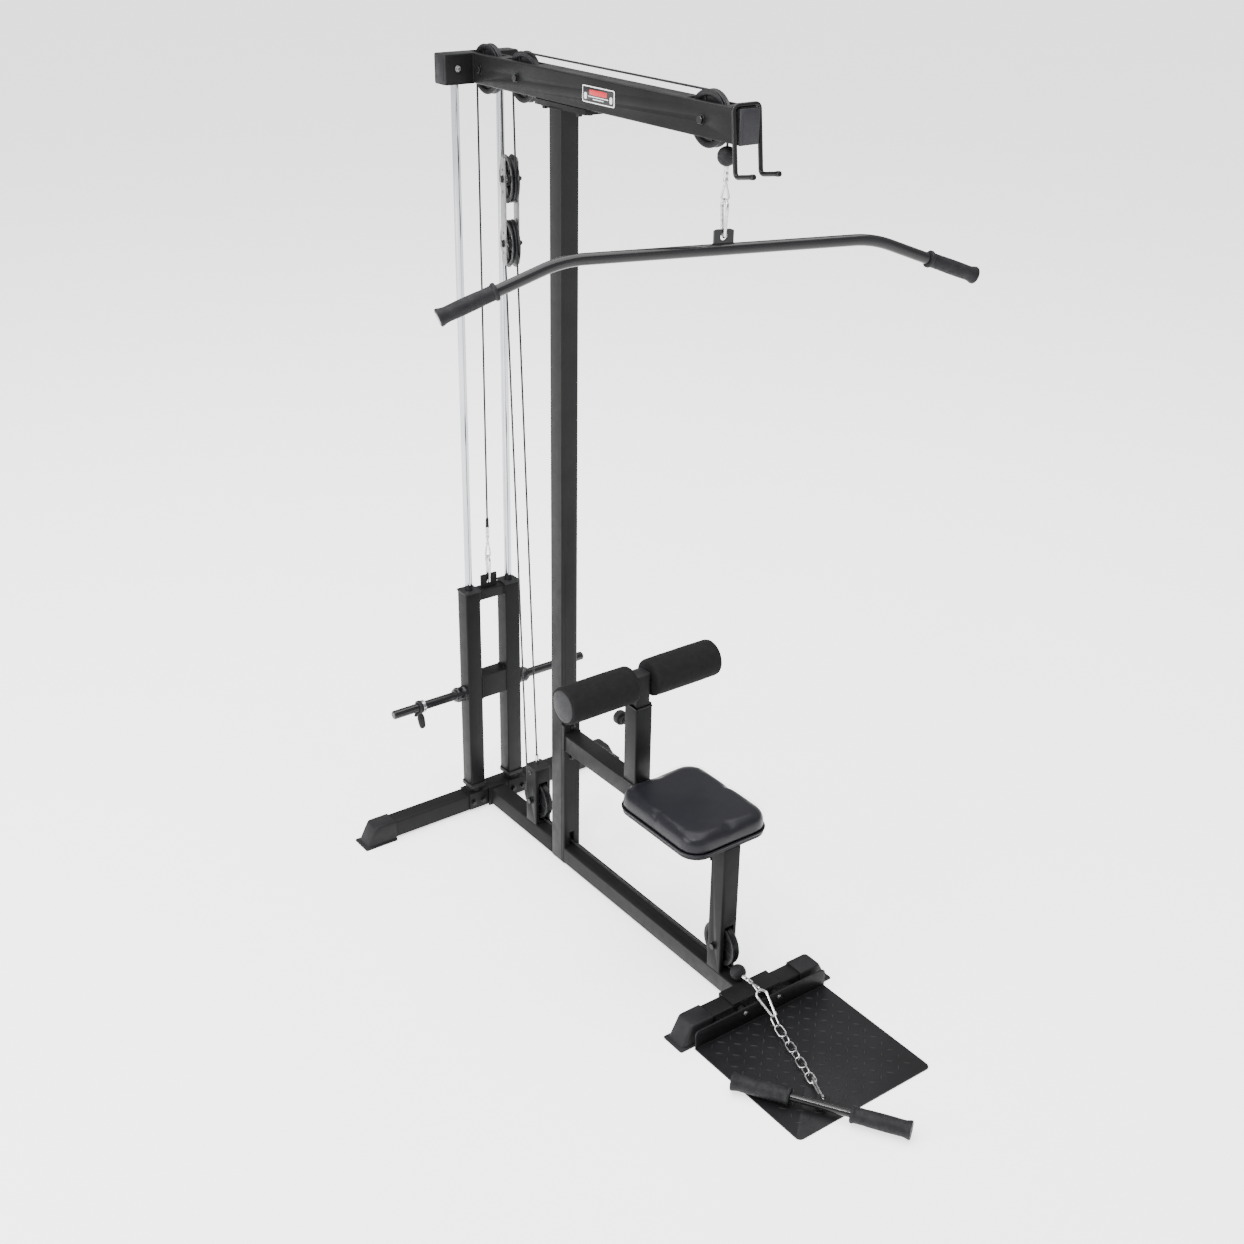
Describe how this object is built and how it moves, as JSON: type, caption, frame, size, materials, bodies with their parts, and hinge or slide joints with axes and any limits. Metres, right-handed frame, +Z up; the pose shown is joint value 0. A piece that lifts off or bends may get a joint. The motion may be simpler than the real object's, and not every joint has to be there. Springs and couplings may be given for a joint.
{
  "type": "lat pulldown tower",
  "caption": "Free-standing plate-loaded cable tower for lat pulldowns and low rows, with a weight carriage on guide rods, thigh rollers, seat and foot plate.",
  "frame": {"origin": "on the floor, under the centre of the whole tower's bounding box", "axes": "+Z up; +Y from the foot plate towards the weight carriage, the way the seated user faces; +X to the seated user's right"},
  "size_m": [1.1718, 1.76, 2.1225],
  "materials": {
    "frame_paint": "satin black powder coat with a fine texture",
    "tread_paint": "satin black paint over raised tread plate",
    "bar_paint": "smooth semi-gloss charcoal",
    "chrome": "mirror-polished chrome plating",
    "zinc_steel": "bright zinc plating",
    "moulded_plastic": "matt moulded black plastic",
    "pulley_nylon": "moulded black nylon",
    "rubber": "matt black rubber",
    "roller_foam": "dense black foam with a dull skin",
    "seat_vinyl": "black vinyl with a fine grain",
    "cable_sheath": "black nylon sheath over steel cable"
  },
  "bodies": {
    "frame": {"rear_crossbar": "frame_paint", "front_crossbar": "frame_paint", "rear_foot_left": "moulded_plastic", "rear_foot_right": "moulded_plastic", "front_foot_left": "moulded_plastic", "front_foot_right": "moulded_plastic", "rear_rail": "frame_paint", "front_rail": "frame_paint", "mast": "frame_paint", "foot_plate": "tread_paint", "top_beam": "frame_paint", "beam_end_cap": "moulded_plastic", "crosshead": "frame_paint", "bar_hanger": "frame_paint", "axle_top_rear": "zinc_steel", "axle_top_middle": "zinc_steel", "axle_top_front": "zinc_steel", "axle_low_rear": "zinc_steel", "axle_low_front": "zinc_steel", "low_pulley_post": "frame_paint", "seat_post": "frame_paint", "upper_arm": "frame_paint", "thigh_post": "frame_paint", "seat_pad": "seat_vinyl", "rod_base": "frame_paint", "guide_rod_left": "chrome", "guide_rod_right": "chrome", "bumper_left": "rubber", "bumper_right": "rubber", "high_cable": "cable_sheath", "low_cable": "cable_sheath"},
    "carriage": {"carriage_tube_left": "frame_paint", "carriage_tube_right": "frame_paint", "carriage_head": "frame_paint", "carriage_crossmember": "frame_paint", "weight_horn_left": "frame_paint", "weight_horn_right": "frame_paint"},
    "left_collar": {"collar_left": "moulded_plastic"},
    "right_collar": {"collar_right": "moulded_plastic"},
    "lat_hook": {"high_stop": "rubber"},
    "lat_handle": {"lat_carabiner": "zinc_steel", "lat_bar": "bar_paint", "lat_grip_left": "rubber", "lat_grip_right": "rubber"},
    "top_front_pulley": {"pulley_top_front": "pulley_nylon"},
    "top_middle_pulley": {"pulley_top_middle": "pulley_nylon"},
    "top_rear_pulley": {"pulley_top_rear": "pulley_nylon"},
    "block": {"pulley_block": "zinc_steel"},
    "block_upper_pulley": {"pulley_block_upper": "pulley_nylon"},
    "block_lower_pulley": {"pulley_block_lower": "pulley_nylon"},
    "low_rear_pulley": {"pulley_low_rear": "pulley_nylon"},
    "low_front_pulley": {"pulley_low_front": "pulley_nylon"},
    "row_hook": {"row_chain": "zinc_steel"},
    "row_handle": {"row_bar": "bar_paint", "row_grip_left": "rubber", "row_grip_right": "rubber"},
    "thigh_rest": {"thigh_slider": "frame_paint"},
    "left_roller": {"roller_left": "roller_foam"},
    "right_roller": {"roller_right": "roller_foam"},
    "height_pin": {"thigh_pin": "moulded_plastic"}
  },
  "joints": [
    {"name": "carriage_lift", "type": "slide", "parent": "frame", "child": "carriage", "axis": [0, 0, 1], "range_m": [0, 0.95], "deforming": ["high_cable"]},
    {"name": "lat_pull", "type": "slide", "parent": "frame", "child": "lat_hook", "axis": [0, 0, -1], "range_m": [0, 0.95], "deforming": ["high_cable"]},
    {"name": "lat_bar_swivel", "type": "hinge", "parent": "lat_hook", "child": "lat_handle", "pos_m": [0, -0.104, 1.94], "axis": [0, 0, 1], "range_deg": [-40, 70]},
    {"name": "top_front_pulley_spin", "type": "hinge", "parent": "frame", "child": "top_front_pulley", "pos_m": [0, -0.05, 2.065], "axis": [1, 0, 0], "continuous": true},
    {"name": "top_middle_pulley_spin", "type": "hinge", "parent": "frame", "child": "top_middle_pulley", "pos_m": [0, 0.627, 2.065], "axis": [1, 0, 0], "continuous": true},
    {"name": "top_rear_pulley_spin", "type": "hinge", "parent": "frame", "child": "top_rear_pulley", "pos_m": [0, 0.784, 2.065], "axis": [1, 0, 0], "continuous": true},
    {"name": "row_pull", "type": "slide", "parent": "frame", "child": "row_hook", "axis": [0, -0.9397, 0.3419], "range_m": [0, 1.1], "stiffness_N_per_m": 10, "springref_m": -1, "deforming": ["low_cable", "high_cable"]},
    {"name": "row_bar_swivel", "type": "hinge", "parent": "row_hook", "child": "row_handle", "pos_m": [-0.0924, -0.6873, 0.0268], "axis": [0, 0, 1], "range_deg": [-30, 30]},
    {"name": "block_drop", "type": "slide", "parent": "frame", "child": "block", "axis": [0, 0, -1], "range_m": [0, 0.55], "deforming": ["low_cable", "high_cable"]},
    {"name": "block_upper_pulley_spin", "type": "hinge", "parent": "block", "child": "block_upper_pulley", "pos_m": [0, 0.7, 1.822], "axis": [0.9563, -0.2924, 0], "continuous": true},
    {"name": "block_lower_pulley_spin", "type": "hinge", "parent": "block", "child": "block_lower_pulley", "pos_m": [0, 0.7, 1.667], "axis": [0.9563, -0.2924, 0], "continuous": true},
    {"name": "low_rear_pulley_spin", "type": "hinge", "parent": "frame", "child": "low_rear_pulley", "pos_m": [0, 0.598, 0.125], "axis": [1, 0, 0], "continuous": true},
    {"name": "low_front_pulley_spin", "type": "hinge", "parent": "frame", "child": "low_front_pulley", "pos_m": [0, -0.211, 0.125], "axis": [1, 0, 0], "continuous": true},
    {"name": "thigh_height", "type": "slide", "parent": "frame", "child": "thigh_rest", "axis": [0, 0, 1], "range_m": [-0.05, 0.075]},
    {"name": "thigh_pin_pull", "type": "slide", "parent": "frame", "child": "height_pin", "axis": [0, 1, 0], "range_m": [0, 0.012], "stiffness_N_per_m": 800, "springref_m": -0.01},
    {"name": "roller_left_spin", "type": "hinge", "parent": "thigh_rest", "child": "left_roller", "pos_m": [-0.128, 0.145, 0.697], "axis": [1, 0, 0], "continuous": true},
    {"name": "roller_right_spin", "type": "hinge", "parent": "thigh_rest", "child": "right_roller", "pos_m": [0.128, 0.145, 0.697], "axis": [1, 0, 0], "continuous": true},
    {"name": "collar_left_slide", "type": "slide", "parent": "carriage", "child": "left_collar", "axis": [1, 0, 0], "range_m": [-0.075, 0.095]},
    {"name": "collar_right_slide", "type": "slide", "parent": "carriage", "child": "right_collar", "axis": [-1, 0, 0], "range_m": [-0.075, 0.095]}
  ],
  "couplings": [
    {"joint": "lat_pull", "follows": "carriage_lift", "ratio": 1},
    {"joint": "top_front_pulley_spin", "follows": "carriage_lift", "rad_per_m": 18.518},
    {"joint": "top_middle_pulley_spin", "follows": "carriage_lift", "rad_per_m": 18.518},
    {"joint": "top_rear_pulley_spin", "follows": "carriage_lift", "rad_per_m": 18.518},
    {"joint": "block_upper_pulley_spin", "follows": "carriage_lift", "rad_per_m": -18.518},
    {"joint": "block_drop", "follows": "row_pull", "ratio": 0.5},
    {"joint": "low_front_pulley_spin", "follows": "row_pull", "rad_per_m": -18.518},
    {"joint": "low_rear_pulley_spin", "follows": "row_pull", "rad_per_m": -18.518},
    {"joint": "block_lower_pulley_spin", "follows": "row_pull", "rad_per_m": -9.2593}
  ]
}
